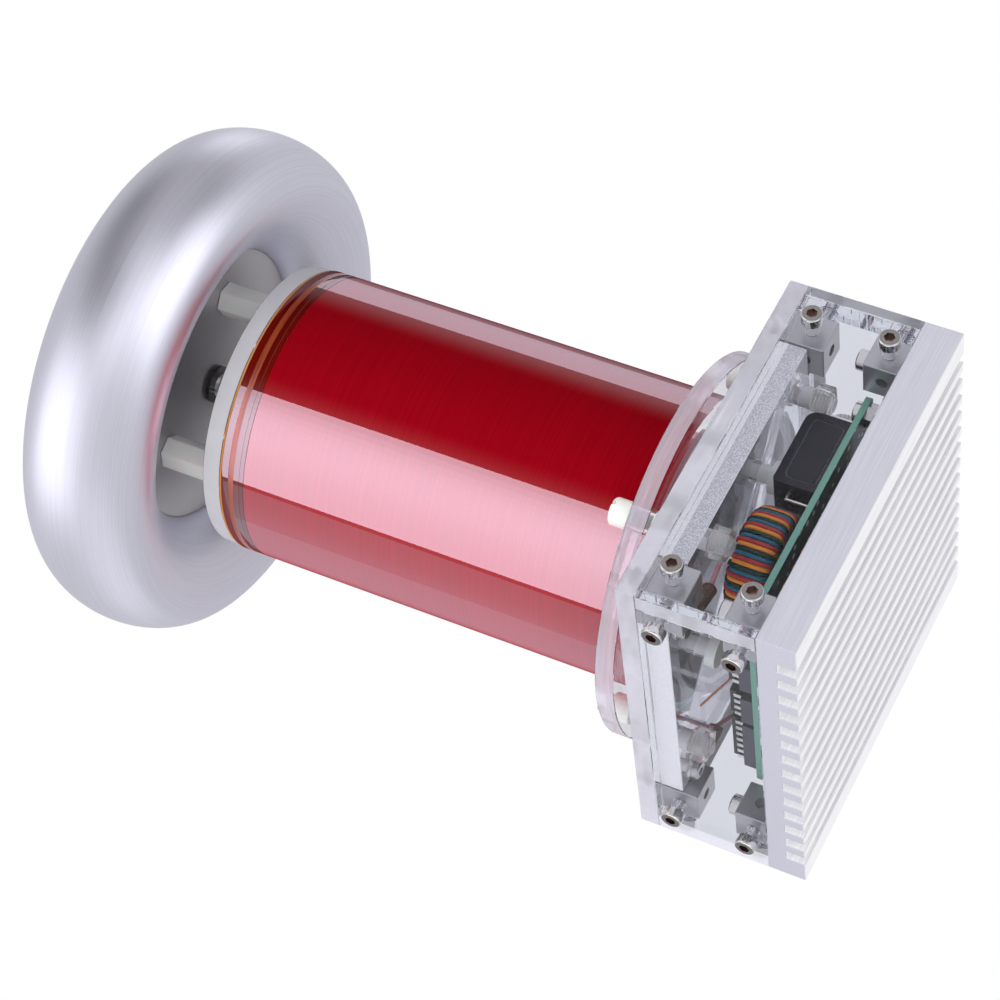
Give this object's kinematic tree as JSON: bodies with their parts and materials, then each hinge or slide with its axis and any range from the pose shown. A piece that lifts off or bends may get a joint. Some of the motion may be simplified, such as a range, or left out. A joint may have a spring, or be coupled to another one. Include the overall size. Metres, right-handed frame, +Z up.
{
  "type": "desktop resonant transformer",
  "caption": "A desktop resonant transformer: a clear box on a finned heat sink with a driver board inside, an upright red wound coil on a clear flange and a spun metal toroid on top.",
  "frame": {"origin": "centre of the plane of the fin tips, under the middle of the part", "axes": "+Z up along the coil, +X and -Y towards the two side plates that the picture shows, fins along Y"},
  "size_m": [0.135, 0.135, 0.2101],
  "materials": {
    "aluminium": "satin",
    "spun_aluminium": "satin",
    "clear_acrylic": "gloss",
    "screw_steel": "gloss",
    "white_nylon": "satin",
    "green_board": "satin",
    "black_plastic": "satin",
    "grey_plastic": "satin",
    "silver_lead": "satin",
    "brass": "satin",
    "ferrite": "satin",
    "orange_wire": "satin",
    "red_wire": "satin",
    "blue_wire": "satin",
    "green_wire": "satin",
    "mauve_wire": "satin",
    "copper_wire": "satin",
    "red_lead": "satin",
    "red_enamel": "gloss",
    "amber_tube": "gloss",
    "black_metal": "satin"
  },
  "bodies": {
    "root": {"heat_sink": "aluminium", "side_plate_right": "clear_acrylic", "side_plate_left": "clear_acrylic", "side_plate_front": "clear_acrylic", "side_plate_back": "clear_acrylic", "top_plate": "clear_acrylic", "inner_plate": "clear_acrylic", "corner_blocks_lower": "aluminium", "corner_blocks_upper": "aluminium", "side_screws_right_left": "screw_steel", "side_screws_front_back": "screw_steel", "heat_sink_screws": "screw_steel", "top_plate_screws": "screw_steel", "circuit_board": "green_board", "board_standoffs": "brass", "board_screws": "screw_steel", "power_packages": "black_plastic", "thermal_pads": "white_nylon", "package_screws": "screw_steel", "package_leads": "silver_lead", "film_capacitor": "black_plastic", "capacitor_leads": "silver_lead", "transformer_core": "ferrite", "winding_orange": "orange_wire", "winding_red": "red_wire", "winding_blue": "blue_wire", "winding_green": "green_wire", "current_transformer": "mauve_wire", "ic_sockets": "grey_plastic", "driver_ics": "black_plastic", "ic_pins": "silver_lead", "power_socket": "black_plastic", "power_socket_nut": "screw_steel", "supply_leads": "red_lead", "primary_winding": "mauve_wire", "terminal_screws": "brass", "terminal_lugs": "silver_lead", "lug_sleeves": "black_plastic", "primary_leads": "mauve_wire", "driver_leads": "copper_wire", "ground_lead": "copper_wire", "flange_ring": "clear_acrylic", "flange_screws": "white_nylon", "flange_spacers": "white_nylon", "flange_nuts": "white_nylon", "coil_base_screws": "white_nylon", "bottom_cap": "clear_acrylic", "secondary_tube": "amber_tube", "secondary_winding": "red_enamel", "top_cap": "clear_acrylic", "toroid_standoffs": "white_nylon", "standoff_lower_screws": "white_nylon", "standoff_upper_screws": "white_nylon", "toroid_lower": "spun_aluminium", "toroid_lower_floor": "spun_aluminium", "toroid_upper": "spun_aluminium", "toroid_upper_floor": "spun_aluminium", "terminal_bolt": "black_metal", "terminal_washer": "black_metal", "terminal_nut": "screw_steel"}
  },
  "joints": []
}
